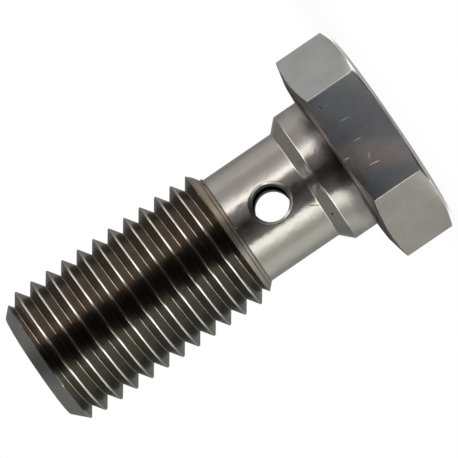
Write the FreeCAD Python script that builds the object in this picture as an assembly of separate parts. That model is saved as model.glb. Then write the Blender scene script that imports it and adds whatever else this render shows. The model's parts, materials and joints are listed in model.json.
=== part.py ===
"""Banjo bolt, M10 x 1.25, with a 14 mm hexagon.

The bolt is one piece, turned from hexagon bar. From the head down it has a chamfered hexagon
head, a collar that centres the banjo fitting, a 45 degree cone, a slim waist with a cross hole,
and a threaded shank with a chamfered tip. A blind bore runs up the middle from the tip and meets
the cross hole, so that fluid gets from the thread side into the ring of the fitting.

Frame: the origin is the centre of the bearing face under the head, +Z runs towards the tip, the
cross hole lies along Y, two flats of the head face +Y and -Y. Lengths are in millimetres and
angles are in degrees.
"""

import FreeCAD, Part

import math
import os

# Thread, M10 x 1.25, right hand, with narrow crests and a plain V between them
THREAD_DIAMETER = 9.92
THREAD_PITCH = 1.25
THREAD_DEPTH = 0.83
THREAD_CREST_WIDTH = 0.13
THREAD_LENGTH = 16.11
TIP_FACE_DIAMETER = 7.71
# Height of a crest where it crosses +X
CREST_HEIGHT = 8.91

# Waist, collar and the cones between them
WAIST_DIAMETER = 8.14
WAIST_LENGTH = 5.39
COLLAR_DIAMETER = 9.76
COLLAR_LENGTH = 1.86
CONE_ANGLE = 45.0

# Hexagon head
HEAD_ACROSS_FLATS = 13.60
HEAD_HEIGHT = 4.34
HEAD_FACE_DIAMETER = 12.68
HEAD_TOP_CHAMFER_ANGLE = 15.5
HEAD_SEAT_CHAMFER_ANGLE = 12.5

# Fluid passages
CROSS_HOLE_DIAMETER = 2.50
CROSS_HOLE_HEIGHT = 5.28
CROSS_HOLE_EDGE = 0.20
BORE_DIAMETER = 4.00
BORE_OVERRUN = 0.60
BORE_POINT_ANGLE = 118.0
BORE_MOUTH_CHAMFER = 0.30

# How far a cutting shape runs past the face that it leaves
CUT_MARGIN = 0.05

Y_AXIS = FreeCAD.Vector(0, 1, 0)
Z_AXIS = FreeCAD.Vector(0, 0, 1)
ORIGIN = FreeCAD.Vector(0, 0, 0)


def rise(run, angle):
    """Rise of a slope of this angle over this run."""
    return run * math.tan(math.radians(angle))


# Sizes that follow from the driving ones
thread_radius = THREAD_DIAMETER / 2
waist_radius = WAIST_DIAMETER / 2
collar_radius = COLLAR_DIAMETER / 2
collar_end = COLLAR_LENGTH
waist_start = collar_end + rise(collar_radius - waist_radius, CONE_ANGLE)
waist_end = waist_start + WAIST_LENGTH
thread_start = waist_end + rise(thread_radius - waist_radius, CONE_ANGLE)
tip = waist_end + THREAD_LENGTH
tip_face_radius = TIP_FACE_DIAMETER / 2
thread_end = tip - rise(thread_radius - tip_face_radius, CONE_ANGLE)


def ring(points):
    """Solid of revolution about Z of a closed outline of (radius, height) points."""
    outline = [FreeCAD.Vector(radius, 0, height) for radius, height in points]
    face = Part.Face(Part.makePolygon(outline + outline[:1]))
    return face.revolve(ORIGIN, Z_AXIS, 360)


def waist_and_collar():
    """Collar, cone and waist, up to where the waist ends."""
    return ring([
        (0, 0),
        (collar_radius, 0),
        (collar_radius, collar_end),
        (waist_radius, waist_start),
        (waist_radius, waist_end),
        (0, waist_end),
    ])


def thread_groove():
    """The V groove between the thread's crests, swept along a right-hand helix at its root."""
    root = thread_radius - THREAD_DEPTH
    outer = thread_radius + CUT_MARGIN
    half_at_crest = (THREAD_PITCH - THREAD_CREST_WIDTH) / 2
    half_at_outer = half_at_crest * (outer - root) / THREAD_DEPTH
    turns_below = math.ceil((CREST_HEIGHT - waist_end) / THREAD_PITCH) + 1
    turns_above = math.ceil((tip - CREST_HEIGHT) / THREAD_PITCH) + 1
    bottom = CREST_HEIGHT - (turns_below - 0.5) * THREAD_PITCH
    helix = Part.makeLongHelix(THREAD_PITCH, (turns_below + turns_above) * THREAD_PITCH, root, 0)
    helix.translate(FreeCAD.Vector(0, 0, bottom))
    corners = [
        FreeCAD.Vector(root, 0, bottom),
        FreeCAD.Vector(outer, 0, bottom + half_at_outer),
        FreeCAD.Vector(outer, 0, bottom - half_at_outer),
    ]
    profile = Part.makePolygon(corners + corners[:1])
    return Part.Wire(helix.Edges).makePipeShell([profile], True, True)


def threaded_end():
    """Threaded length with its two end cones. The groove runs out where the waist begins."""
    blank = ring([
        (0, waist_end),
        (waist_radius, waist_end),
        (thread_radius, thread_start),
        (thread_radius, thread_end),
        (tip_face_radius, tip),
        (0, tip),
    ])
    return blank.cut(thread_groove())


def hexagon_bar(across_flats, low, high):
    """Length of hexagon bar with two of its corners on +X and -X."""
    corner_distance = across_flats / math.sqrt(3)
    corners = []
    for side in range(6):
        angle = math.radians(60 * side)
        along_x = corner_distance * math.cos(angle)
        along_y = corner_distance * math.sin(angle)
        corners.append(FreeCAD.Vector(along_x, along_y, low))
    return Part.Face(Part.makePolygon(corners + corners[:1])).extrude(Z_AXIS * (high - low))


def head():
    """Hexagon head with a turned chamfer on the seat side and one on the top side."""
    face_radius = HEAD_FACE_DIAMETER / 2
    outer = HEAD_ACROSS_FLATS / math.sqrt(3) + CUT_MARGIN
    seat_rise = rise(outer - face_radius, HEAD_SEAT_CHAMFER_ANGLE)
    top_rise = rise(outer - face_radius, HEAD_TOP_CHAMFER_ANGLE)
    turned = ring([
        (0, -HEAD_HEIGHT),
        (face_radius, -HEAD_HEIGHT),
        (outer, -HEAD_HEIGHT + top_rise),
        (outer, -seat_rise),
        (face_radius, 0),
        (0, 0),
    ])
    return hexagon_bar(HEAD_ACROSS_FLATS, -HEAD_HEIGHT, 0).common(turned)


def bore():
    """Blind drilled bore from the tip to just past the cross hole, with a chamfered mouth."""
    radius = BORE_DIAMETER / 2
    full_depth = CROSS_HOLE_HEIGHT - CROSS_HOLE_DIAMETER / 2 - BORE_OVERRUN
    point = full_depth - rise(radius, 90 - BORE_POINT_ANGLE / 2)
    mouth_radius = radius + BORE_MOUTH_CHAMFER
    return ring([
        (0, point),
        (radius, full_depth),
        (radius, tip - BORE_MOUTH_CHAMFER),
        (mouth_radius + CUT_MARGIN, tip + CUT_MARGIN),
        (0, tip + CUT_MARGIN),
    ])


def is_hole_rim(edge):
    """True for the saddle-shaped edges where the cross hole breaks through the waist."""
    first, last = edge.ParameterRange
    middle = edge.valueAt((first + last) / 2)
    on_waist = abs(math.hypot(middle.x, middle.y) - waist_radius) < CUT_MARGIN
    width = edge.BoundBox.XLength
    return on_waist and CROSS_HOLE_DIAMETER / 4 < width < CROSS_HOLE_DIAMETER + CUT_MARGIN


def drill_cross_hole(body):
    """Cross hole through both walls of the waist, with its two outer edges broken."""
    reach = thread_radius + CUT_MARGIN
    start = FreeCAD.Vector(0, -reach, CROSS_HOLE_HEIGHT)
    drilled = body.cut(Part.makeCylinder(CROSS_HOLE_DIAMETER / 2, 2 * reach, start, Y_AXIS))
    return drilled.makeChamfer(CROSS_HOLE_EDGE, [edge for edge in drilled.Edges if is_hole_rim(edge)])


def banjo_bolt():
    """The whole bolt as one solid."""
    shank = waist_and_collar().fuse(threaded_end())
    whole = shank.fuse(head()).removeSplitter()
    return drill_cross_hole(whole.cut(bore())).removeSplitter()


def save(name, shape):
    """Checks one finished solid, prints its facts and writes it to parts."""
    solids = shape.Solids
    if not shape.isValid() or len(solids) != 1:
        raise RuntimeError("%s is not one sound solid" % name)
    box = shape.BoundBox
    print("%s: volume %.2f mm3, %d faces, box %.2f x %.2f x %.2f mm"
          % (name, shape.Volume, len(shape.Faces), box.XLength, box.YLength, box.ZLength))
    shape.exportStep("parts/%s.step" % name)


os.makedirs("parts", exist_ok=True)
save("banjo_bolt", banjo_bolt())
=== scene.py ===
# %% [markdown]
# A banjo bolt in turned steel
#
# A banjo bolt is a hollow bolt. It is turned from hexagon bar: a hexagon head, a collar that
# centres the fitting, a cone, a slim waist with a cross hole, and a thread with a bore up its
# middle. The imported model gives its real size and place. This lesson builds the same piece
# again as one clean surface, with the small rounded edges and the fine crests that the light
# catches, and then gives it its steel, its floor and its studio.

# %% The frame
import json
import math

import bmesh
import bpy
import numpy as np
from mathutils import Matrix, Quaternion, Vector


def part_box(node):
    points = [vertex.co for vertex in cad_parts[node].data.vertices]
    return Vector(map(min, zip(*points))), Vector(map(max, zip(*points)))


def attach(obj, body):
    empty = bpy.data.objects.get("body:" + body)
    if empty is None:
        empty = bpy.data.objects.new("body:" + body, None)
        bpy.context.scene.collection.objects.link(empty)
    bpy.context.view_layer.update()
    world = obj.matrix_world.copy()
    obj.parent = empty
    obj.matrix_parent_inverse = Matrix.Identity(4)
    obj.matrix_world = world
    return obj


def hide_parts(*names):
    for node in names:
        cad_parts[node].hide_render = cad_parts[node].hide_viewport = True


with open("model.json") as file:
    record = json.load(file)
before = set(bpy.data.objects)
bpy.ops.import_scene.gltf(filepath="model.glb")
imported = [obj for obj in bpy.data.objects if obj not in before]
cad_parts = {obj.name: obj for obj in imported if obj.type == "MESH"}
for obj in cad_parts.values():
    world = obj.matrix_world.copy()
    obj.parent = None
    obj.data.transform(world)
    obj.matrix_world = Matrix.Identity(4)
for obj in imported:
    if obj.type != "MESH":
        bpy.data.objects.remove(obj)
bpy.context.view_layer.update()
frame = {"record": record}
MM = 0.001
NODE = "banjo_bolt"

# %% [markdown]
# The sizes come from the frame where it holds them: the head and the tip from the node's box,
# the collar, the bore and the cross hole from the record's mounts. The thread and the cones
# are not mounts with sizes, so they are named here, in millimetres, as a drawing gives them.
# Angles turn about the bolt's axis, Z, and start at +X.

# %% Sizes in millimetres
low_corner, high_corner = [np.array(corner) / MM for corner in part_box(NODE)]
mounts = {mount["name"]: mount for mount in frame["record"]["mounts"]}


def mount_size(name, size):
    """One size of a mount in the record, in millimetres."""
    return mounts[name]["dims"][size]


APOTHEM = high_corner[1]
HEAD_TOP = low_corner[2]
TIP = high_corner[2]
COLLAR_RADIUS = mount_size("collar", "r_mm")
COLLAR_END = mount_size("collar", "length_mm")
BORE_RADIUS = mount_size("gallery", "r_mm")
HOLE_RADIUS = mount_size("cross_port", "r_mm")
HOLE_HEIGHT = mounts["cross_port"]["pos_m"][2] / MM

THREAD_RADIUS = 4.96
THREAD_PITCH = 1.25
THREAD_DEPTH = 0.83
CREST_WIDTH = 0.09
CREST_HEIGHT = 8.91
WAIST_RADIUS = 4.07
WAIST_LENGTH = 5.39
TIP_FACE_RADIUS = 3.855
HEAD_FACE_RADIUS = 6.34
SEAT_CHAMFER = math.radians(12.5)
TOP_CHAMFER = math.radians(15.5)
RIM_CHAMFER = 0.20
RIM_STRETCH = 0.05
MOUTH_CHAMFER = 0.30
BORE_OVERRUN = 0.60
POINT_ANGLE = math.radians(118)
BORE_END = HOLE_HEIGHT - HOLE_RADIUS - BORE_OVERRUN
DRILL_POINT = BORE_END - BORE_RADIUS / math.tan(POINT_ANGLE / 2)

# The cones are cut at 45 degrees, so each rises as far as it narrows
WAIST_START = COLLAR_END + COLLAR_RADIUS - WAIST_RADIUS
WAIST_END = WAIST_START + WAIST_LENGTH
print("the waist runs from", round(WAIST_START, 2), "to", round(WAIST_END, 2), "mm")

# %% [markdown]
# The camera stands level with the start of the thread, a quarter of a metre away, so the head
# and the tip turn a little away from the middle. It is rolled on its side: in the picture the
# bolt's axis runs from the upper right to the lower left.

# %% The camera
CAMERA_DISTANCE = 252.94
CAMERA_TURN = math.radians(4.03)
CAMERA_HEIGHT = 8.18
CAMERA_AIM = Vector((0.395, 0.0, 8.496)) * MM
CAMERA_ROLL = math.radians(124.31)
CAMERA_LENS = 297.97


def add_object(name, data):
    """New object in the scene that holds this mesh, light or camera."""
    made = bpy.data.objects.new(name, data)
    bpy.context.scene.collection.objects.link(made)
    return made


def make_camera():
    """Camera at (-distance sin(turn), -distance cos(turn)), aimed near the bolt's middle and rolled."""
    data = bpy.data.cameras.new("camera")
    data.lens = CAMERA_LENS
    data.clip_start = 0.01
    camera = add_object("camera", data)
    across = CAMERA_DISTANCE * math.sin(CAMERA_TURN)
    back = CAMERA_DISTANCE * math.cos(CAMERA_TURN)
    camera.location = Vector((-across, -back, CAMERA_HEIGHT)) * MM
    level = (CAMERA_AIM - camera.location).to_track_quat("-Z", "Y")
    camera.rotation_mode = "QUATERNION"
    camera.rotation_quaternion = level @ Quaternion((0, 0, 1), -CAMERA_ROLL)
    bpy.context.scene.camera = camera
    return camera


camera = make_camera()
print("the camera is at", [round(v, 4) for v in camera.location])

# %% [markdown]
# Every surface here is a grid: rows run along the bolt or into a hole, columns run round it.
# A sharp corner would look drawn, not made, so each outline gets small arcs at its corners
# first. Neighbouring grids share their edge points exactly, and are joined at the end.

# %% Outlines with rounded corners
def unit(vectors):
    """Each vector divided by its length."""
    return vectors / np.linalg.norm(vectors, axis=-1, keepdims=True)


def rounded(corners, radii, steps=4):
    """Outline with its corners rounded, and a mask that is 1 inside the arcs and 0 elsewhere.

    corners has shape (..., n, 2), so many outlines are rounded at once. An arc of radius r
    touches both sides of its corner at the distance r / tan(half the corner's angle), and its
    centre lies on the bisector at the distance r / sin(half the angle). The arc turns from
    one touching direction to the other by weights sin((1 - f) a) and sin(f a), over sin(a).
    """
    corners = np.asarray(corners, float)
    points = [corners[..., 0, :]]
    mask = [0.0]
    share = np.linspace(0, 1, steps + 1)
    for k, radius in enumerate(radii, start=1):
        here = corners[..., k, :]
        if radius == 0:
            points.append(here)
            mask.append(0.0)
            continue
        to_last = unit(corners[..., k - 1, :] - here)
        to_next = unit(corners[..., k + 1, :] - here)
        half = 0.5 * np.arccos(np.sum(to_last * to_next, axis=-1, keepdims=True))
        centre = here + unit(to_last + to_next) * radius / np.sin(half)
        start = (here + to_last * radius / np.tan(half) - centre) / radius
        end = (here + to_next * radius / np.tan(half) - centre) / radius
        turn = math.pi - 2 * half
        for f in share:
            arc = (np.sin((1 - f) * turn) * start + np.sin(f * turn) * end) / np.sin(turn)
            points.append(centre + radius * arc)
            mask.append(1.0 if 0 < f < 1 else 0.0)
    points.append(corners[..., -1, :])
    mask.append(0.0)
    return np.stack(points, axis=-2), np.array(mask)


print("a rounded corner takes", len(rounded([(0, 0), (1, 0), (1, 1)], [0.1])[0]) - 2, "points")

# %% Grids that become one mesh
MASKS = ("flank", "edge", "drilled", "bar", "runout")
patches = []


def add_patch(x, y, z, **masks):
    """Keeps a grid of points in millimetres, with masks from 0 to 1 that say what each point is."""
    x, y, z = np.broadcast_arrays(x, y, z)
    patch = {name: np.broadcast_to(masks.get(name, 0.0), x.shape) for name in MASKS}
    patch["points"] = np.stack([x, y, z], axis=-1)
    patches.append(patch)


def add_turned(radius, height, angle, **masks):
    """Keeps a grid given by radius, height and angle: x = r cos(a), y = r sin(a), z = height."""
    add_patch(radius * np.cos(angle), radius * np.sin(angle), height, **masks)


# The cross hole comes out at 270 degrees, three quarters of the way round, and at 90 degrees
COLUMNS = 144
HOLE_COLUMN = 3 * COLUMNS // 4
HALF_WINDOW = 12
column_angle = 2 * math.pi * np.arange(COLUMNS + 1) / COLUMNS
print("columns are", round(math.degrees(column_angle[1]), 2), "degrees apart")

# %% [markdown]
# The thread is a helix, so a plain ring grid would cut across its crests and make them ragged.
# Here each column starts a little higher than the last, by one pitch in a full turn, so that
# grid rows run along the crests and the roots. At both ends the lathe cut a cone. The grid point
# nearest to where it crosses the thread is moved onto the crossing, which keeps that edge crisp.

# %% The thread's outline over one pitch
CREST_EDGE = 0.075
ROOT_ROUND = 0.018
FLANK_ROWS = 5
SHORTEST_FLANK = 0.2
TIP_JOIN = TIP - 0.10

half_crest = CREST_WIDTH / 2
root_radius = THREAD_RADIUS - THREAD_DEPTH
crest_to_crest = [
    (0, THREAD_RADIUS),
    (half_crest, THREAD_RADIUS),
    (THREAD_PITCH / 2, root_radius),
    (THREAD_PITCH - half_crest, THREAD_RADIUS),
    (THREAD_PITCH, THREAD_RADIUS),
]
pitch_line, pitch_edge = rounded(crest_to_crest, [CREST_EDGE, ROOT_ROUND, CREST_EDGE])


def with_flank_rows(line, edge, rows):
    """Heights, radii and mask of the thread's outline, with evenly spaced points on its flanks."""
    first = np.flatnonzero(np.diff(line[:, 0]) > SHORTEST_FLANK)
    share = np.arange(1, rows + 1) / (rows + 1)
    added = line[first, :1] + share * np.diff(line[:, :1], axis=0)[first]
    height = np.sort(np.append(line[:, 0], added))
    return height, np.interp(height, line[:, 0], line[:, 1]), np.interp(height, line[:, 0], edge)


pitch_height, pitch_radius, pitch_edge = with_flank_rows(pitch_line, pitch_edge, FLANK_ROWS)
print("one pitch has", len(pitch_height), "rows")

# %% The thread as a surface
CONE_MARGIN = 0.002
END_MARGIN = 0.01


def thread_surface():
    """Height, radius and masks of the thread, on rows that climb one pitch in a full turn.

    height = crest height + pitch (turn + angle / 360 degrees) + row, kept between the waist
    and the tip. radius = the smaller of the outline's at that height and the end cones'.
    """
    below = math.ceil((CREST_HEIGHT - WAIST_END) / THREAD_PITCH) + 2
    above = math.ceil((TIP_JOIN - CREST_HEIGHT) / THREAD_PITCH) + 1
    starts = THREAD_PITCH * np.arange(-below, above)
    rows = (starts[:, None] + pitch_height[None, :-1]).ravel()
    climb = CREST_HEIGHT + THREAD_PITCH * column_angle / (2 * math.pi)
    height = np.clip(rows[:, None] + climb[None, :], WAIST_END, TIP_JOIN)

    def outline(at):
        """Radius of the thread's outline, which repeats with every pitch."""
        return np.interp(np.mod(at - climb, THREAD_PITCH), pitch_height, pitch_radius)

    def cones(at):
        """Radius of the end cones, both at 45 degrees."""
        return np.minimum(WAIST_RADIUS + at - WAIST_END, TIP_FACE_RADIUS + TIP - at)

    over = outline(height) - cones(height)
    crosses = over[:-1] * over[1:] < 0
    share = over[:-1] / np.where(crosses, over[:-1] - over[1:], 1)
    target = height[:-1] + share * np.diff(height, axis=0)
    free = (height > WAIST_END) & (height < TIP_JOIN)
    move_low = crosses & free[:-1] & ((share < 0.5) | ~free[1:])
    move_high = crosses & free[1:] & ~move_low
    height[:-1][move_low] = target[move_low]
    height[1:][move_high] = target[move_high]

    on_thread = outline(height) < cones(height) - CONE_MARGIN
    row_edge = np.tile(pitch_edge[:-1], len(starts))[:, None]
    radius = np.minimum(outline(height), cones(height))
    on_runout = ~on_thread & (height > WAIST_END + END_MARGIN) & (height < (WAIST_END + TIP) / 2)
    return radius, height, on_thread * (1.0 - row_edge), on_thread * row_edge, on_runout * 1.0


radius, height, flank, edge, runout = thread_surface()
add_turned(radius, height, column_angle, flank=flank, edge=edge, runout=runout)
print("the thread has", height.shape[0], "rows, with radii", radius.min(), "to", radius.max())

# %% [markdown]
# Collar, cone and waist are plain turned shapes: one outline carried round the axis. The waist
# leaves a window free on each side, for the cross hole.

# %% Collar, cone and waist
WAIST_WINDOW = 1.90
WINDOW_ROWS = 17
shank_line, shank_edge = rounded(
    [(COLLAR_RADIUS, 0), (COLLAR_RADIUS, COLLAR_END), (WAIST_RADIUS, WAIST_START),
     (WAIST_RADIUS, HOLE_HEIGHT - WAIST_WINDOW)],
    [0.06, 0.05],
)
add_turned(shank_line[:, :1], shank_line[:, 1:], column_angle, edge=shank_edge[:, None])
add_turned(WAIST_RADIUS, np.array([[HOLE_HEIGHT + WAIST_WINDOW], [WAIST_END]]), column_angle)


def beside_windows(angles):
    """The two runs of columns between the windows of the cross hole."""
    first = np.arange(HOLE_COLUMN - COLUMNS // 2 + HALF_WINDOW, HOLE_COLUMN - HALF_WINDOW + 1)
    return [angles[first], angles[(first + COLUMNS // 2) % COLUMNS]]


waist_rows = HOLE_HEIGHT + np.linspace(-WAIST_WINDOW, WAIST_WINDOW, WINDOW_ROWS)
for angles in beside_windows(column_angle):
    add_turned(WAIST_RADIUS, waist_rows[:, None], angles)
print("the windows are", 2 * WAIST_WINDOW, "mm high")

# %% [markdown]
# A drill went through both sides of the waist and broke into the bore. Seen along the drill, the
# hole is a circle, so the window is filled in that view: from its edge to the hole's rim, down
# the chamfer and the drilled wall, and out again on the bore. The bore is half as wide as the
# waist, so its columns are spread round the holes, which gives its windows room.

# %% The cross hole
BORE_WINDOW = 1.60
BORE_SPREAD = 0.383
RIM_MARGIN = 0.09
WALL_START = 0.3
bore_angle = column_angle - BORE_SPREAD * np.sin(2 * column_angle)


def window_edge(radius, angles, half_height):
    """Points round a window, seen along the hole, as x and height from the hole's middle."""
    x = radius * np.cos(angles[HOLE_COLUMN - HALF_WINDOW:HOLE_COLUMN + HALF_WINDOW + 1])
    z = np.linspace(-half_height, half_height, WINDOW_ROWS)
    round_x = np.concatenate([x[:-1], np.full(len(z) - 1, x[-1]), x[:0:-1], np.full(len(z), x[0])])
    round_z = np.concatenate([np.full(len(x) - 1, z[0]), z[:-1], np.full(len(x) - 1, z[-1]), z[::-1]])
    return round_x, round_z


def depth_on(radius, x):
    """Depth of a cylinder's near side at x: y = -sqrt(r^2 - x^2)."""
    return -np.sqrt(radius**2 - x**2)


def between(first, last, shares):
    """Rows that go from one array to another: (1 - f) first + f last."""
    return (1 - shares[:, None]) * first + shares[:, None] * last


def cross_hole():
    """Surface of one side's hole: rings of points from the waist's window to the bore's.

    Between two outlines they go by (1 - f) first + f last, and their depth on the waist and
    the bore follows from those cylinders.
    """
    out_x, out_z = window_edge(WAIST_RADIUS, column_angle, WAIST_WINDOW)
    in_x, in_z = window_edge(BORE_RADIUS, bore_angle, BORE_WINDOW)
    out_turn = np.unwrap(np.arctan2(out_z, out_x))
    in_turn = np.unwrap(np.arctan2(in_z, in_x))
    across, along = np.cos(out_turn), np.sin(out_turn)

    chamfer = RIM_CHAMFER - RIM_STRETCH * np.cos(2 * out_turn)
    rim_start = HOLE_RADIUS + chamfer + RIM_MARGIN
    shares = np.linspace(0, 1, 6)[:-1] ** 0.8
    surface_x = between(out_x, rim_start * across, shares)
    surface_z = between(out_z, rim_start * along, shares)
    surface_y = depth_on(WAIST_RADIUS, surface_x)

    wall = HOLE_RADIUS * np.ones_like(chamfer)
    radii = np.stack([rim_start, HOLE_RADIUS + chamfer, wall, wall], axis=-1)
    depths = depth_on(WAIST_RADIUS, radii * across[:, None])
    depths[:, 2] += chamfer
    depths[:, 3] = depths[:, 2] + WALL_START
    rim, rim_edge = rounded(np.stack([radii, depths], axis=-1), [0.03, 0.06])
    rim_radius, rim_depth = rim[..., 0].T, rim[..., 1].T

    shares = np.linspace(0, 1, 5)[1:]
    wall_turn = between(out_turn, in_turn, shares)
    wall_x, wall_z = HOLE_RADIUS * np.cos(wall_turn), HOLE_RADIUS * np.sin(wall_turn)
    wall_y = between(rim_depth[-1], depth_on(BORE_RADIUS, wall_x[-1]), shares)

    shares = np.linspace(0, 1, 4)[1:]
    bore_x = between(wall_x[-1], in_x, shares)
    bore_z = between(wall_z[-1], in_z, shares)
    bore_y = depth_on(BORE_RADIUS, bore_x)

    x = np.concatenate([surface_x, rim_radius * across, wall_x, bore_x])
    y = np.concatenate([surface_y, rim_depth, wall_y, bore_y])
    z = HOLE_HEIGHT + np.concatenate([surface_z, rim_radius * along, wall_z, bore_z])
    rim_end = len(surface_x) + len(rim_edge)
    edge, drilled = np.zeros((len(x), 1)), np.zeros((len(x), 1))
    edge[len(surface_x):rim_end, 0] = rim_edge
    drilled[rim_end - 1:] = 1.0
    drilled[len(surface_x) + 3:rim_end - 1] = 0.5
    return x, y, z, edge, drilled


hole_x, hole_y, hole_z, edge, drilled = cross_hole()
for side in (1, -1):
    add_patch(side * hole_x, side * hole_y, hole_z, edge=edge, drilled=drilled)
print("each side of the cross hole has", hole_x.shape[1] - 1, "columns")

# %% [markdown]
# The tip's flat ring and the bore follow the same outline inwards: over the rounded edge, across
# the ring, down the mouth's chamfer and the bore to the cone that the drill's point left.

# %% The tip and the bore
tip_line, tip_edge = rounded(
    [(TIP_FACE_RADIUS + TIP - TIP_JOIN, TIP_JOIN), (TIP_FACE_RADIUS, TIP),
     (BORE_RADIUS + MOUTH_CHAMFER, TIP), (BORE_RADIUS, TIP - MOUTH_CHAMFER),
     (BORE_RADIUS, HOLE_HEIGHT + BORE_WINDOW)],
    [0.15, 0.05, 0.05],
)
inwards = np.where(tip_line[:, 0] < (TIP_FACE_RADIUS + BORE_RADIUS + MOUTH_CHAMFER) / 2, 1.0, 0.0)
tip_angles = between(column_angle, bore_angle, inwards)
in_bore = np.where(tip_line[:, 1:] < TIP - MOUTH_CHAMFER, inwards[:, None], 0.0)
add_turned(tip_line[:, :1], tip_line[:, 1:], tip_angles, edge=tip_edge[:, None], drilled=in_bore)

bore_rows = HOLE_HEIGHT + np.linspace(BORE_WINDOW, -BORE_WINDOW, WINDOW_ROWS)
for angles in beside_windows(bore_angle):
    add_turned(BORE_RADIUS, bore_rows[:, None], angles, drilled=1.0)
end_radius = np.array([BORE_RADIUS, BORE_RADIUS, BORE_RADIUS / 2, 0])
end_height = np.array([bore_rows[-1], BORE_END, (BORE_END + DRILL_POINT) / 2, DRILL_POINT])
add_turned(end_radius[:, None], end_height[:, None], bore_angle, drilled=1.0)
print("the bore is", round(TIP - BORE_END, 2), "mm deep")

# %% [markdown]
# The head is hexagon bar that was turned on both sides, so its chamfers are cones. A cone cuts a
# flat in a shallow bow. So the head is worked out as a turned piece whose radius changes with
# the angle, and its outline is rounded at each angle by itself, which bends the arcs along the
# bows.

# %% The hexagon head
CORNER_ROUND = 0.10
OUTER_ROUND = 0.07
FACE_ROUND = 0.12
FACE_ROW = 5.40
INNER_ROW = 2.60
half_arc = CORNER_ROUND * math.sin(math.radians(30))
corner_reach = math.degrees(math.atan2(half_arc, APOTHEM / math.cos(math.radians(30))))
near_corner = corner_reach * np.array([-2.0, -1.0, -0.6, -0.2, 0.2, 0.6, 1.0, 2.0])
corner_columns = (60.0 * np.arange(6)[:, None] + near_corner).ravel() % 360
head_angle = np.radians(np.unique(np.concatenate([np.degrees(column_angle[:-1]), corner_columns])))
head_angle = np.append(head_angle, 2 * math.pi)
nearest_column = 2 * math.pi * np.round(head_angle * COLUMNS / (2 * math.pi)) / COLUMNS


def hexagon_radius(angle):
    """Radius of the bar, at d from the nearest corner: apothem / cos(30 degrees - d), or an arc."""
    d = np.abs((angle + math.pi / 6) % (math.pi / 3) - math.pi / 6)
    flat = APOTHEM / np.cos(math.pi / 6 - d)
    centre = (APOTHEM - CORNER_ROUND) / math.cos(math.pi / 6)
    inside = np.maximum(CORNER_ROUND**2 - (centre * np.sin(d)) ** 2, 0)
    arc = centre * np.cos(d) + np.sqrt(inside)
    on_arc = d < math.radians(corner_reach) * 0.999
    return np.where(on_arc, arc, flat), on_arc


def head_surface():
    """Radius, height and worn edges of the head, from the bearing face over to the top's middle.

    At each angle the outline goes out over the bearing face, down a cone by (bar - face
    radius) tan(chamfer angle), along the bar, and back in over the other cone. Only the arcs
    beside the bar and the bar's own corners are worn.
    """
    bar, on_arc = hexagon_radius(head_angle)
    ones = np.ones_like(bar)
    seat_height = -(bar - HEAD_FACE_RADIUS) * math.tan(SEAT_CHAMFER)
    top_height = HEAD_TOP + (bar - HEAD_FACE_RADIUS) * math.tan(TOP_CHAMFER)
    face = HEAD_FACE_RADIUS * ones
    radii = [FACE_ROW * ones, face, bar, bar, face, FACE_ROW * ones]
    heights = [0 * ones, 0 * ones, seat_height, top_height, HEAD_TOP * ones, HEAD_TOP * ones]
    corners = np.stack([np.stack(radii, axis=-1), np.stack(heights, axis=-1)], axis=-1)
    line, arc = rounded(corners, [FACE_ROUND, OUTER_ROUND, OUTER_ROUND, FACE_ROUND], steps=3)
    radius = np.vstack([COLLAR_RADIUS * ones, line[..., 0].T, INNER_ROW * ones, 0 * ones])
    height = np.vstack([0 * ones, line[..., 1].T, HEAD_TOP * ones, HEAD_TOP * ones])
    angle = np.vstack([nearest_column] + [head_angle] * (len(radius) - 1))
    on_bar = np.isclose(radius, bar)
    past_face = radius > HEAD_FACE_RADIUS + FACE_ROUND
    outer_arc = np.concatenate([[0], arc, [0, 0]])[:, None] * past_face
    edge = np.maximum(outer_arc, on_bar & on_arc)
    return radius, height, angle, edge, on_bar * 1.0


radius, height, angle, edge, bar = head_surface()
add_turned(radius, height, angle, edge=edge, bar=bar)
print("the head is", round(2 * radius.max(), 2), "mm across its rounded corners")

# %% [markdown]
# Now the grids become one mesh. Points that lie on each other are merged, which closes every
# seam and drops the quads that were pressed flat at the thread's ends. The faces are turned
# outwards, and a Weighted Normal modifier lets the large faces set the shading, so the small
# arcs stay crisp and the flats stay flat.

# %% One closed mesh
SAME_PLACE = 1e-7
SHARP_ANGLE = math.radians(40)


def grid_quads(rows, columns, first=0):
    """Each quad between neighbours of a grid, whose points are numbered row by row from first."""
    index = first + np.arange(rows * columns).reshape(rows, columns)
    corners = [index[:-1, :-1], index[:-1, 1:], index[1:, 1:], index[1:, :-1]]
    return np.stack(corners, axis=-1).reshape(-1, 4)


def build_mesh(name):
    """Mesh of all patches, still apart, with the masks as attributes of its points."""
    points, quads = [], []
    first = 0
    for patch in patches:
        rows, columns = patch["points"].shape[:2]
        quads.append(grid_quads(rows, columns, first))
        points.append(patch["points"].reshape(-1, 3))
        first += rows * columns
    mesh = bpy.data.meshes.new(name)
    mesh.from_pydata(np.concatenate(points) * MM, [], np.concatenate(quads).tolist())
    for mask in MASKS:
        values = np.concatenate([patch[mask].ravel() for patch in patches])
        layer = mesh.attributes.new(mask, "FLOAT", "POINT")
        layer.data.foreach_set("value", values.astype(np.float32))
    return mesh


def close_mesh(mesh):
    """Merges coincident points, drops faces with no area and turns all faces outwards."""
    work = bmesh.new()
    work.from_mesh(mesh)
    bmesh.ops.remove_doubles(work, verts=work.verts, dist=SAME_PLACE)
    bmesh.ops.dissolve_degenerate(work, edges=work.edges, dist=SAME_PLACE)
    bmesh.ops.recalc_face_normals(work, faces=work.faces)
    open_edges = sum(1 for edge in work.edges if not edge.is_manifold)
    volume = work.calc_volume(signed=True)
    work.to_mesh(mesh)
    work.free()
    return open_edges, volume


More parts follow.
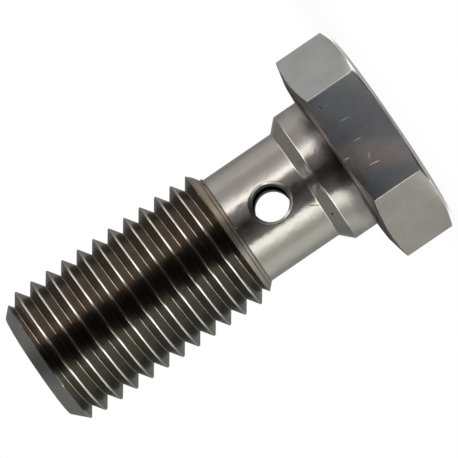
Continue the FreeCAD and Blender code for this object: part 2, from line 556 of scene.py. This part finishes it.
mesh = build_mesh("bolt_turned")
open_edges, volume = close_mesh(mesh)
mesh.polygons.foreach_set("use_smooth", np.ones(len(mesh.polygons), bool))
mesh.set_sharp_from_angle(angle=SHARP_ANGLE)
bolt = add_object("bolt_turned", mesh)
weighted = bolt.modifiers.new("large_faces_first", "WEIGHTED_NORMAL")
weighted.keep_sharp = True
mesh.calc_loop_triangles()
print(len(mesh.loop_triangles), "triangles,", open_edges, "open edges,", round(volume * 1e9, 1), "mm3")

# %% [markdown]
# Steel shows the studio, dimmed and a little blurred. What makes it look like this bolt is where
# it is smooth and where it is dull, and the masks for that were made with the mesh. To mix them,
# a small class lets sums be written as Python, and each sum adds its Math nodes.

# %% Shader maths
class Value:
    """A number that varies over a surface. Arithmetic on it adds Math nodes."""

    def __init__(self, shader, socket):
        self.shader = shader
        self.socket = socket

    def math(self, operation, first, second):
        """Result of one Math node."""
        made = self.shader.node("ShaderNodeMath", {"operation": operation}, {0: first, 1: second})
        return made.value()

    def __add__(self, other):
        return self.math("ADD", self, other)

    def __radd__(self, other):
        return self.math("ADD", other, self)

    def __sub__(self, other):
        return self.math("SUBTRACT", self, other)

    def __rsub__(self, other):
        return self.math("SUBTRACT", other, self)

    def __mul__(self, other):
        return self.math("MULTIPLY", self, other)

    def __rmul__(self, other):
        return self.math("MULTIPLY", other, self)

    def __truediv__(self, other):
        return self.math("DIVIDE", self, other)

    def greater(self, other):
        return self.math("MAXIMUM", self, other)

    def lesser(self, other):
        return self.math("MINIMUM", self, other)

    def power(self, exponent):
        return self.math("POWER", self, exponent)

    def smooth_step(self, low, high):
        """0 at low, 1 at high and smooth between. It falls where low is the greater of the two."""
        inputs = {"Value": self, "From Min": low, "From Max": high, "To Min": 0.0, "To Max": 1.0}
        made = self.shader.node("ShaderNodeMapRange", {"interpolation_type": "SMOOTHSTEP"}, inputs)
        return made.value("Result")

    def ramp(self, stops, low, high):
        """Grey that follows stops, as (value, grey), from the value low to the value high."""
        greys = [((at - low) / (high - low), grey) for at, grey in stops]
        share = (self - low) / (high - low)
        return self.shader.node("ShaderNodeValToRGB", {"stops": greys}, {"Fac": share}).value("Color")


class Node:
    """A node whose outputs are read as values."""

    def __init__(self, shader, made):
        self.shader = shader
        self.made = made

    def value(self, output=0):
        """One output, by its number or its name."""
        return Value(self.shader, self.made.outputs[output])


class Shader:
    """The node tree of a material or of the world."""

    def __init__(self, owner):
        owner.use_nodes = True
        self.tree = owner.node_tree
        self.tree.nodes.clear()

    def node(self, kind, settings=None, inputs=None):
        """Adds a node: its settings or ramp stops first, then the values or links of its sockets."""
        made = self.tree.nodes.new(kind)
        for name, setting in (settings or {}).items():
            if name == "stops":
                self.set_stops(made.color_ramp, setting)
            else:
                setattr(made, name, setting)
        for name, source in (inputs or {}).items():
            if isinstance(source, Value):
                self.tree.links.new(source.socket, made.inputs[name])
            else:
                made.inputs[name].default_value = source
        return Node(self, made)

    def vector(self, operation, inputs, output="Vector"):
        """Result of one Vector Math node."""
        return self.node("ShaderNodeVectorMath", {"operation": operation}, inputs).value(output)

    def set_stops(self, ramp, stops):
        """Gives a colour ramp its stops, as (place, grey) from left to right."""
        while len(ramp.elements) < len(stops):
            ramp.elements.new(1.0)
        for element, (place, grey) in zip(ramp.elements, stops):
            element.position = place
            element.color = (grey, grey, grey, 1.0)

    def mix_colour(self, share, first, second):
        """Colour between two colours by a share from 0 to 1.

        The node names its sockets alike for numbers and colours, so the colours go by number.
        """
        return self.node("ShaderNodeMix", {"data_type": "RGBA"}, {0: share, 6: first, 7: second}).value(2)

    def layered(self, colour, layers):
        """Colour with others laid over it in turn, each by its share from 0 to 1."""
        for share, layer in layers:
            colour = self.mix_colour(share, colour, layer)
        return colour


# %% [markdown]
# The turned steel is one material, because the bolt is one piece. It could be painted as an
# image, but a pattern worked out from the place on the bolt stays sharp up close. So the steel
# reads where a point lies, in millimetres, and the masks of the mesh. Names that start with on_
# or in_ are shares from 0 to 1.

# %% Places and masks on the bolt
def distance(across, along):
    """Length of a way that goes across and along: the root of the sum of their squares."""
    return (across * across + along * along).power(0.5)


worn_steel = bpy.data.materials.new("worn_turned_steel")
steel = Shader(worn_steel)
place = steel.node("ShaderNodeTexCoord").value("Object")
xyz = steel.node("ShaderNodeSeparateXYZ", inputs={"Vector": place})
x, y, z = [xyz.value(axis) / MM for axis in "XYZ"]
from_axis = distance(x, y)
on_flank, on_edge, in_hole, on_bar, on_runout = [
    steel.node("ShaderNodeAttribute", {"attribute_name": name}).value("Fac") for name in MASKS]
off_bar = 1.0 - on_bar
print("the steel reads the masks", MASKS)

# %% [markdown]
# Metal that was drawn, turned and handled is never even. A noise is a soft random pattern, and it
# is stretched where the real pattern has a direction: bar steel is drawn lengthways, and a thread
# is scuffed round about. The tool's rings follow the distance from the axis and the height, so
# they run round the shank and in circles on the end faces.

# %% Noises
def noise(vector, scale, detail, dimensions="3D"):
    """Soft random pattern from 0 to 1, with about this many patches in one unit of the vector."""
    settings = {"noise_dimensions": dimensions}
    inputs = {"Vector": vector, "Scale": scale, "Detail": detail}
    return steel.node("ShaderNodeTexNoise", settings, inputs).value("Fac")


def stretched(vector, factors):
    """Vector with each part multiplied by its own factor. A small factor stretches a pattern."""
    return steel.vector("MULTIPLY", {0: vector, 1: factors})


cloud = noise(place, 420.0, 3.0)
dents = noise(place, 850.0, 2.0)
wear = noise(place, 1300.0, 2.0)
grit = noise(place, 5200.0, 2.0)
scuffs = noise(stretched(place, (1.0, 1.0, 2.6)), 1500.0, 2.0)
drawn = noise(stretched(place, (1.0, 1.0, 0.2)), 7000.0, 3.0)
ring_place = steel.node("ShaderNodeCombineXYZ", inputs={"X": from_axis, "Y": z, "Z": 0.0}).value()
rings = noise(ring_place, 9.0, 3.0, "2D")
print("the noises took", len(steel.tree.nodes), "nodes")

# %% [markdown]
# The steel differs from part to part. Shank and collar are bright, the tip is a little bluer, the thread's
# flanks are dark, olive on one side and brown on the other, and the bore is painted near black as shade
# inside it. The head's flats, left from the bar, have three tints from left to right, which are painted
# light and shade: one steel, made lighter or darker on each flat as the light falls on it.

# %% Steel of each part
STEEL = (0.570, 0.552, 0.520, 1.0)
COLLAR_STEEL = (0.510, 0.495, 0.470, 1.0)
TIP_STEEL = (0.400, 0.410, 0.415, 1.0)
# The flats' three tints are painted light and shade on one steel
LEFT_FLAT_LIT = (0.412, 0.395, 0.378, 1.0)
FRONT_FLAT_LIT = (0.470, 0.480, 0.530, 1.0)
RIGHT_FLAT_LIT = (0.485, 0.504, 0.506, 1.0)
OLIVE_FLANK = (0.143, 0.137, 0.121, 1.0)
BROWN_FLANK = (0.152, 0.132, 0.112, 1.0)
PALE_RUNOUT = (0.340, 0.318, 0.280, 1.0)
WARM_RUNOUT = (0.310, 0.265, 0.212, 1.0)
# Near black in the bore and the hole's wall: painted shade
DRILLED_SHADE = (0.060, 0.056, 0.052, 1.0)
# Heights or distances, in millimetres, where a zone's share is 0 and where it is 1
COLLAR_ZONE = (1.90, 1.80)
TIP_ZONE = (23.20, 23.40)
TIP_FACE_ZONE = (TIP - 0.05, TIP - 0.01)
THREAD_ZONE = (8.30, 8.40)
ROOT_ZONE = (4.40, 4.20)
CORNER_X = APOTHEM / math.sqrt(3)
CORNER_BLUR = 0.045

in_right_half = x.smooth_step(-0.8, 0.8)
past_left_corner = x.smooth_step(-CORNER_X - CORNER_BLUR, -CORNER_X + CORNER_BLUR)
past_right_corner = x.smooth_step(CORNER_X - CORNER_BLUR, CORNER_X + CORNER_BLUR)
on_tip = z.smooth_step(*TIP_ZONE) * (1.0 - on_flank)
on_tip_face = z.smooth_step(*TIP_FACE_ZONE)
flank_colour = steel.mix_colour(in_right_half, OLIVE_FLANK, BROWN_FLANK)
runout_colour = steel.mix_colour(in_right_half, PALE_RUNOUT, WARM_RUNOUT)
flat_colour_as_lit = steel.layered(LEFT_FLAT_LIT, [(past_left_corner, FRONT_FLAT_LIT), (past_right_corner, RIGHT_FLAT_LIT)])
colour = steel.layered(STEEL, [
    (on_flank, flank_colour),
    (z.smooth_step(*COLLAR_ZONE), COLLAR_STEEL),
    (on_tip, TIP_STEEL),
    (on_runout, runout_colour),
    (on_bar, flat_colour_as_lit),
    (in_hole, DRILLED_SHADE),
])
print("the head's corners are at x =", round(CORNER_X, 3), "mm")

# %% [markdown]
# The marks of use come next, each where the photo shows it, and on the front alone. A scratch or a nick is
# a short stroke and a smudge is a soft oval. A noise breaks up their edges, because no real edge is clean.
# The pinkish ovals are not marks of use but a painted reflection: a purple tint in the dark band down the
# shank's front.

# %% Strokes and smudges
# x and height of both ends, then the half width, all in millimetres
DARK_MARKS = [
    (3.17, -0.86, 3.00, -0.90, 0.040),
    (-1.92, -1.15, -1.95, -1.62, 0.015),
    (-1.59, 3.24, -1.91, 2.71, 0.030),
    (-2.85, 2.32, -2.87, 2.30, 0.060),
    (-0.12, 1.60, -0.20, 1.50, 0.050),
    (-1.30, 7.02, -1.75, 7.00, 0.010),
]
BRIGHT_MARKS = [
    (-1.83, -1.38, -1.90, -2.09, 0.030),
    (-0.62, -0.22, -0.66, -0.52, 0.040),
    (-1.05, -1.85, -1.45, -1.62, 0.020),
    (1.48, 7.07, 1.18, 7.05, 0.020),
]
FAINT_MARKS = [(1.59, -1.40, 1.57, -2.00, 0.035), (0.04, -1.45, 0.01, -1.95, 0.030)]
# x and height of the middle, then half the width and half the height
DARK_SMUDGES = [(-0.28, 7.45, 0.34, 0.60), (0.05, 3.30, 0.30, 0.40), (-0.25, 1.00, 0.45, 0.90)]
# Pinkish ovals: painted reflection in the dark band down the front
PINK_REFLECTION_SPOTS = [(-0.90, 7.60, 0.40, 0.75), (-1.20, 3.10, 0.22, 0.55), (-0.85, 0.95, 0.65, 1.25)]
# A band down the front where the crests are painted dark, as shade
CREST_SHADE_BAND = [(0.35, 15.60, 1.15, 9.00)]

in_front_half = y.smooth_step(-0.5, -1.0)


def marks(strokes):
    """1 on the strokes and 0 beside them.

    The nearest point of a stroke is its start plus a share of its length, which is the
    dot product of the way from the start with the stroke, over the stroke's square.
    """
    found = 0.0
    for x0, z0, x1, z1, half_width in strokes:
        across, along = x1 - x0, z1 - z0
        share = ((x - x0) * across + (z - z0) * along) / (across**2 + along**2)
        share = share.greater(0.0).lesser(1.0)
        away = distance(x - x0 - share * across, z - z0 - share * along) + (grit - 0.5) * 0.06
        found = away.smooth_step(half_width + 0.03, half_width - 0.02).greater(found)
    return found * in_front_half


def smudges(spots):
    """1 in the middle of each spot, fading to 0 at its uneven edge.

    The distance from the middle is counted in half widths and half heights.
    """
    found = 0.0
    for x0, z0, half_width, half_height in spots:
        away = distance((x - x0) / half_width, (z - z0) / half_height) + (cloud - 0.5) * 1.2
        found = away.smooth_step(1.15, 0.10).greater(found)
    return found * in_front_half


dark_marks = marks(DARK_MARKS)
bright_marks = marks(BRIGHT_MARKS).greater(marks(FAINT_MARKS) * 0.5)
print("the front has", len(DARK_MARKS + BRIGHT_MARKS + FAINT_MARKS), "marks")

# %% [markdown]
# A dark purple stain lies beside the head, and with it painted shade: the steel is painted darker towards
# the head, as if shaded by it. It fills the corner at the collar's foot and creeps up the collar with a
# ragged edge, strongest at the front and the back, where y is nearly the whole distance from the axis. The
# bearing face has it too, and it fades out towards the dull chamfer of the seat, whose dark grey is
# painted shade as well.

# %% Smudges, stain, painted shade and reflection
SMUDGE = (0.250, 0.245, 0.260, 1.0)
PINK_REFLECTION = (0.480, 0.355, 0.380, 1.0)
# The seat's dark grey is painted shade
SEAT_SHADE = (0.155, 0.145, 0.142, 1.0)
STAIN_AND_SHADE = (0.072, 0.060, 0.068, 1.0)
STAIN_AND_SHADE_RAGGED = 1.1

facing = (y * y / (from_axis * from_axis)).smooth_step(0.48, 0.72)
# Painted shade with a purple stain, darker towards the head
creeping_stain_and_shade = (z + (cloud - 0.5) * STAIN_AND_SHADE_RAGGED).smooth_step(1.30, 0.20) * (0.41 + facing * 0.47)
at_foot = z.smooth_step(0.50, -0.05)
on_seat = z.smooth_step(0.02, 0.0) * z.smooth_step(-0.55, -0.45) * off_bar
stain_and_shade_on_seat = on_seat * from_axis.smooth_step(6.2, 5.0)
in_stain_and_shade = creeping_stain_and_shade.greater(at_foot) * off_bar * z.smooth_step(-0.02, 0.0).greater(stain_and_shade_on_seat)

colour = steel.layered(colour, [
    (smudges(DARK_SMUDGES) * 0.8, SMUDGE),
    # Painted reflection: the pinkish ovals
    (smudges(PINK_REFLECTION_SPOTS) * 0.8, PINK_REFLECTION),
    (on_seat, SEAT_SHADE),
    (in_stain_and_shade, STAIN_AND_SHADE),
])
print("the steel now has", len(steel.tree.nodes), "nodes")

# %% [markdown]
# Corners rub bright first, and on a thread that means its crests. The wear is patchy, and on the head's
# corners it comes in chips. The roots shine too, in a warmer tint. In the middle of the front the crests
# are painted dark, which is painted shade: it stands in for the dark reflection there.

# %% Rubbed edges, and painted shade on the front crests
RUBBED = (0.640, 0.620, 0.585, 1.0)
WARM_ROOT = (0.600, 0.530, 0.420, 1.0)
PAINTED_CREST_SHADE = (0.150, 0.142, 0.138, 1.0)

patchy = wear.smooth_step(0.36, 0.58) * 0.5 + 0.45
chipped = 1.0 - on_bar * grit.smooth_step(0.52, 0.42) * 0.8
on_thread_edge = on_edge * z.smooth_step(*THREAD_ZONE)
in_root = on_thread_edge * from_axis.smooth_step(*ROOT_ZONE)
# Painted shade on the crests in the middle of the front
in_crest_shade = on_thread_edge * smudges(CREST_SHADE_BAND)
colour = steel.layered(colour, [
    (on_edge * chipped * patchy, RUBBED),
    (in_root, WARM_ROOT),
    (in_crest_shade * 0.85, PAINTED_CREST_SHADE),
])
print("the roots are nearer to the axis than", ROOT_ZONE[1], "mm")

# %% [markdown]
# The eye rests on the flat that faces the camera. Its two long edges are dark, a brown cloud
# slants across it, and the scratches lie on top of that.

# %% The front flat
CLOUDED = (0.750, 0.680, 0.672, 1.0)
DARK = (0.030, 0.028, 0.027, 1.0)
BRIGHT = (0.860, 0.780, 0.700, 1.0)
CLOUD_X = -0.60
CLOUD_HEIGHT = -1.90
CLOUD_SLANT = 0.40

in_front = past_left_corner * (1.0 - past_right_corner) * y.smooth_step(-6.0, -6.4)
on_front_flat = on_bar * in_front
top_rim = z.smooth_step(-3.70, -3.85) * x.smooth_step(-2.6, -1.2)
seat_rim = z.smooth_step(-0.55, -0.40)
across_cloud = x - CLOUD_X - z * CLOUD_SLANT
along_cloud = z - CLOUD_HEIGHT
from_cloud = across_cloud * across_cloud * 1.1 + along_cloud * along_cloud * 0.14 + (cloud - 0.5) * 1.2

colour = steel.layered(colour, [
    (in_front * on_edge * top_rim.greater(seat_rim) * 0.75, STAIN_AND_SHADE),
    (on_front_flat * from_cloud.smooth_step(2.4, -0.3), CLOUDED),
    (dark_marks * 0.8, DARK),
    (bright_marks * 0.6, BRIGHT),
])
print("the colour took", len(steel.tree.nodes), "nodes in all")

# %% [markdown]
# The colour is then made a little lighter or darker, by the clouds everywhere, and by the drawn grain and
# the grit on the bar's flats. On the front flat this is painted light and shade: the flat darkens towards
# the seat and the right, and lightens towards the head's top.

# %% Lighter and darker, with painted light on the front flat
HEAD_MIDDLE = -2.3
HALF_HEAD = 1.8

towards_top = (HEAD_MIDDLE - z) / HALF_HEAD
to_left = x.smooth_step(2.0, -3.0)
to_right = x.smooth_step(-1.0, 4.0)
# Painted light and shade on the front flat
painted_light_on_flat = towards_top * (0.26 + to_left * 0.32) + to_left * 0.05 + 0.06 - to_right * 0.25
grain = (cloud - 0.5) * 0.25 + (drawn - 0.5) * 0.24 + (grit - 0.5) * 0.20
tone_and_painted_light = 0.92 + cloud * 0.16 + on_front_flat * painted_light_on_flat + on_bar * grain
shaded = steel.vector("SCALE", {"Vector": colour, "Scale": tone_and_painted_light})
print("towards_top is 1 at", round(HEAD_MIDDLE - HALF_HEAD, 2), "mm")

# %% [markdown]
# How dull each part is does more for its look than its colour. Turned faces are nearly polished,
# flanks and flats are duller, and the bore, the tip's face and the seat are the dullest. Rubbed
# edges are a little smoother, which makes their highlights thin and bright.

# %% Dullness
POLISHED = 0.10
rough = (
    POLISHED + cloud * 0.07 + scuffs * 0.04 + on_flank * 0.08 + on_bar * 0.22 + in_hole * 0.30
    + on_tip * 0.14 + on_tip_face * 0.30 + on_runout * 0.24 + in_stain_and_shade * 0.08 + on_seat * 0.34
    + bright_marks * 0.35 - on_edge * 0.04)
print("polished steel has a roughness of", POLISHED)

# %% [markdown]
# Three layers of bump give the relief that is too fine for the mesh: the tool's rings with a
# little grit, shallow dents and scuffs, and two lands, narrow steps on the run-out cone.

# %% Fine relief
# The lands' profile, as (height in mm, share of LAND_DEPTH)
LANDS = [
    (8.00, 0.45), (8.13, 0.45), (8.17, 0.80), (8.33, 0.40), (8.41, 1.00), (8.72, 0.20), (9.00, 0.20)]
RING_DEPTH = 0.0015
DENT_DEPTH = 0.030
LAND_DEPTH = 0.22


def bump(height, depth, normal=None):
    """Normal tilted by a height from 0 to 1 that stands for a depth in millimetres."""
    inputs = {"Height": height, "Strength": 1.0, "Distance": depth * MM}
    if normal:
        inputs["Normal"] = normal
    return steel.node("ShaderNodeBump", {}, inputs).value("Normal")


lands = z.ramp(LANDS, LANDS[0][0], LANDS[-1][0])
normal = bump(rings * 0.6 + grit * 0.3, RING_DEPTH)
normal = bump(scuffs * 0.2 + dents * (1.0 - on_bar * 0.5), DENT_DEPTH, normal)
normal = bump(lands * on_runout, LAND_DEPTH, normal)
print("the layers are", RING_DEPTH, DENT_DEPTH, "and", LAND_DEPTH, "mm deep")

# %% The finished steel
surface = steel.node("ShaderNodeBsdfPrincipled", {}, {
    "Base Color": shaded, "Metallic": 1.0, "Roughness": rough, "Normal": normal})
steel.node("ShaderNodeOutputMaterial", inputs={"Surface": surface.value("BSDF")})
bolt.data.materials.append(worn_steel)
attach(bolt, "root")
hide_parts(NODE)
print("the bolt's material is", bolt.data.materials[0].name)

# %% [markdown]
# The bolt stands on its head on a plain pale floor. Floor and world are white where the camera,
# a reflection or clear glass looks at them, apart from the floor under the head, which is matt
# and keeps its shadow. Round the head the floor is nearly white, and it fades into the white
# backdrop with no horizon.

# %% Floor and world
FLOOR_SIZE = 3.0
FLOOR_COLOUR = (0.90, 0.90, 0.89, 1.0)
WHITE = (1.0, 1.0, 1.0, 1.0)
WORLD_LIGHT = 0.75
# Share of plain white under the head and near it, and the distances in metres where it changes
WHITE_UNDER = 0.05
WHITE_NEAR = 0.92
SHADE_START = 0.0073
SHADE_END = 0.0085
FADE_END = 0.032


def looks(shader):
    """1 for rays of the camera, of a reflection or through clear glass, and 0 for others."""
    path = shader.node("ShaderNodeLightPath")
    seen = path.value("Is Camera Ray").greater(path.value("Is Glossy Ray"))
    return seen.greater(path.value("Is Transmission Ray"))


def make_world():
    """White backdrop all round, and a soft even light."""
    world = bpy.data.worlds.new("studio")
    bpy.context.scene.world = world
    shader = Shader(world)
    strength = WORLD_LIGHT + looks(shader) * (1.0 - WORLD_LIGHT)
    back = shader.node("ShaderNodeBackground", {}, {"Color": WHITE, "Strength": strength})
    shader.node("ShaderNodeOutputWorld", inputs={"Surface": back.value("Background")})


def make_floor():
    """Plain square floor under the head."""
    half = FLOOR_SIZE / 2
    corners = [(-half, -half), (half, -half), (half, half), (-half, half)]
    mesh = bpy.data.meshes.new("floor")
    mesh.from_pydata([(x, y, HEAD_TOP * MM) for x, y in corners], [], [(0, 1, 2, 3)])
    floor = add_object("floor", mesh)
    material = bpy.data.materials.new("pale_floor")
    shader = Shader(material)
    place = shader.node("ShaderNodeTexCoord").value("Object")
    away = shader.vector("LENGTH", {0: place}, "Value")
    white = WHITE_UNDER + away.smooth_step(SHADE_START, SHADE_END) * (WHITE_NEAR - WHITE_UNDER)
    share = looks(shader) * (white + away.smooth_step(SHADE_END, FADE_END) * (1.0 - WHITE_NEAR))
    matt = shader.node("ShaderNodeBsdfDiffuse", {}, {"Color": FLOOR_COLOUR})
    glow = shader.node("ShaderNodeEmission", {}, {"Color": WHITE, "Strength": 1.0})
    mixed = shader.node("ShaderNodeMixShader", {}, {
        0: share, 1: matt.value("BSDF"), 2: glow.value("Emission")})
    shader.node("ShaderNodeOutputMaterial", inputs={"Surface": mixed.value("Shader")})
    mesh.materials.append(material)


make_world()
make_floor()
print("the floor lies at", round(HEAD_TOP, 2), "mm")

# %% [markdown]
# Two soft lights, high on the left and right, make the floor's soft shadow. They stay out of the
# metal's reflections, which come from cards.

# %% Two soft lights
LIGHT_DISTANCE = 0.50
LIGHT_HEIGHT = 0.35
LIGHT_AZIMUTH = math.radians(46)
LIGHT_SIZE = 0.30
LIGHT_RADIANCE = 1.2


def make_light(name, azimuth):
    """Square soft light at an azimuth from the camera. Its power is radiance times pi times area."""
    data = bpy.data.lights.new(name, "AREA")
    data.size = LIGHT_SIZE
    data.energy = LIGHT_RADIANCE * math.pi * LIGHT_SIZE**2
    light = add_object(name, data)
    from_front = azimuth - CAMERA_TURN
    across, back = LIGHT_DISTANCE * math.sin(from_front), LIGHT_DISTANCE * math.cos(from_front)
    light.location = (across, -back, LIGHT_HEIGHT)
    light.rotation_mode = "QUATERNION"
    light.rotation_quaternion = (-light.location).to_track_quat("-Z", "Y")
    light.visible_camera = False
    light.visible_glossy = False
    return light


make_light("soft_light_right", LIGHT_AZIMUTH)
soft_light = make_light("soft_light_left", -LIGHT_AZIMUTH)
print("each soft light has", round(soft_light.data.energy, 3), "W")

# %% [markdown]
# Polished metal is lit by what stands round it, so the bolt gets a tent of cards. In front hangs
# a dark card, with the camera in its middle. Beside it stand two bright upright cards, which draw
# the two light bands along the shank. Grey cards close the sides and the back, bright ones above
# and below them light the thread's crests, and the top is dark. Only reflections see the tent.
#
# The tent is one surface: a ring on the floor with a low fence round the head, and a dome. The
# fence is as bright as the cards at the bolt's own level, so the head's flats don't show the
# bright ring behind it. The grey is written as stops of the angle from the camera's side, in
# degrees, for four heights, and the stops are mixed by height.

# %% The tent of cards
TENT_RADIUS = 0.30
TENT_COLUMNS = 72
RING_ROWS = 12
DOME_ROWS = 24
TENT_CENTRE = 0.008
TENT_FLOOR = (HEAD_TOP + 0.2) * MM
FOOT_RADIUS = 0.0066
FENCE_RADIUS = 0.020
FENCE_TOP = 0.001
FENCE_WIDTH = 0.001
FENCE_REACH = 0.0236
FENCE_BLUR = 0.0005
CARD_PEAK = 5.0
# Sine of the elevation between which one row of stops gives way to the next
LOW_TO_LEVEL = (-0.24, -0.12)
LEVEL_TO_HIGH = (0.14, 0.26)
HIGH_TO_TOP = (0.52, 0.64)
TOP_TO_ZENITH = (0.90, 1.00)
LEVEL_STOPS = [
    (-180, 0.26), (-148, 0.30), (-138, 0.34), (-125, 0.48), (-113, 0.62), (-95, 0.64), (-84, 0.50),
    (-77, 0.48), (-70, 0.52), (-64, 0.72), (-57, 1.08), (-51, 1.48), (-43, 1.48), (-38.5, 1.20),
    (-36.5, 0.20), (-28, 0.15), (-16, 0.092), (-5, 0.042), (7, 0.062), (18, 0.175), (30, 0.26),
    (34.5, 0.34), (37.5, 1.40), (43, 1.80), (48, 1.48), (54, 0.88), (60, 0.58), (68, 0.45), (82, 0.42),
    (98, 0.60), (117, 0.52), (144, 0.28)]
LOW_STOPS = [
    (-180, 0.35), (-122, 0.35), (-100, 0.80), (-76, 1.30), (-60, 1.90), (-50, 3.60), (-37, 3.60),
    (-32.5, 0.02), (0, 0.012), (32.5, 0.02), (36.5, 3.60), (50, 3.60), (60, 1.90), (76, 1.40),
    (100, 1.10), (122, 0.45)]
HIGH_STOPS = [
    (-180, 0.20), (-122, 0.20), (-100, 1.70), (-72, 2.70), (-58, 4.00), (-37, 4.20), (-32.5, 0.02),
    (0, 0.012), (32.5, 0.02), (36.5, 4.20), (58, 4.20), (72, 3.00), (100, 2.20), (122, 0.22)]
TOP_STOPS = [
    (-180, 0.24), (-75, 0.24), (-56, 1.60), (-37, 3.60), (-32.5, 0.04), (0, 0.03), (32.5, 0.04),
    (36.5, 3.60), (56, 1.60), (75, 0.24)]
ZENITH = (0.009, 0.009, 0.009, 1.0)
WARM_SIDE = (1.0, 0.965, 0.925, 1.0)
COOL_SIDE = (0.985, 1.0, 0.930, 1.0)


def make_tent():
    """Floor ring, low fence and dome as one surface of revolution.

    The outline runs outwards along the floor, over the fence and on to the dome, and up that
    by its elevation e, as (radius cos(e), radius sin(e)). It turns clockwise, so faces look in.
    """
    ring = np.linspace(FENCE_RADIUS + FENCE_WIDTH, TENT_RADIUS, RING_ROWS)
    elevation = np.radians(np.linspace(0, 90, DOME_ROWS))[1:]
    foot = [FOOT_RADIUS, FENCE_RADIUS, FENCE_RADIUS, FENCE_RADIUS + FENCE_WIDTH]
    foot_height = [TENT_FLOOR, TENT_FLOOR, FENCE_TOP, FENCE_TOP]
    radius = np.concatenate([foot, ring, TENT_RADIUS * np.cos(elevation)])[:, None]
    height = np.concatenate([foot_height, ring * 0 + TENT_FLOOR, TENT_RADIUS * np.sin(elevation)])[:, None]
    azimuth = np.linspace(2 * math.pi, 0, TENT_COLUMNS + 1)[None, :]
    grid = np.broadcast_arrays(radius * np.cos(azimuth), radius * np.sin(azimuth), height)
    points = np.stack(grid, axis=-1)
    mesh = bpy.data.meshes.new("card_tent")
    mesh.from_pydata(points.reshape(-1, 3), [], grid_quads(*points.shape[:2]).tolist())
    tent = add_object("card_tent", mesh)
    for flag in ("visible_camera", "visible_diffuse", "visible_transmission", "visible_shadow"):
        setattr(tent, flag, False)
    return tent


def cards():
    """Glowing cards: their grey by the angle from the camera's side and by the height.

    The angle is arctan(x / -y), and the height counts as the sine of the elevation.
    """
    material = bpy.data.materials.new("cards")
    shader = Shader(material)
    place = shader.node("ShaderNodeTexCoord").value("Object")
    from_middle = shader.vector("SUBTRACT", {0: place, 1: (0.0, 0.0, TENT_CENTRE)})
    turned = shader.node("ShaderNodeVectorRotate", {"rotation_type": "Z_AXIS"},
                         {"Vector": from_middle, "Angle": CAMERA_TURN}).value("Vector")
    xyz = shader.node("ShaderNodeSeparateXYZ", inputs={"Vector": turned})
    x, y, z = [xyz.value(axis) for axis in "XYZ"]
    angle = x.math("ARCTAN2", x, 0.0 - y) * math.degrees(1)
    away = shader.vector("LENGTH", {0: from_middle}, "Value")
    rise = z / away

    def by_angle(stops):
        """Grey of one row of stops, in shares of the brightest card."""
        return angle.ramp([(at, grey / CARD_PEAK) for at, grey in stops], -180, 180)

    level = by_angle(LEVEL_STOPS)
    grey = shader.layered(by_angle(LOW_STOPS), [
        (rise.smooth_step(*LOW_TO_LEVEL), level),
        (rise.smooth_step(*LEVEL_TO_HIGH), by_angle(HIGH_STOPS)),
        (rise.smooth_step(*HIGH_TO_TOP), by_angle(TOP_STOPS)),
        (rise.smooth_step(*TOP_TO_ZENITH), ZENITH),
        (away.smooth_step(FENCE_REACH + FENCE_BLUR, FENCE_REACH), level),
    ])
    tint = shader.mix_colour((x / TENT_RADIUS).smooth_step(-0.3, 0.3), COOL_SIDE, WARM_SIDE)
    colour = shader.vector("MULTIPLY", {0: grey, 1: tint})
    glow = shader.node("ShaderNodeEmission", {}, {"Color": colour, "Strength": CARD_PEAK})
    shader.node("ShaderNodeOutputMaterial", inputs={"Surface": glow.value("Emission")})
    return material


tent = make_tent()
tent.data.materials.append(cards())
print("the tent has", len(tent.data.polygons), "faces")

# %% [markdown]
# The colours are shown as they are written, with the Standard view.

# %% Finish
bpy.context.scene.view_settings.view_transform = "Standard"
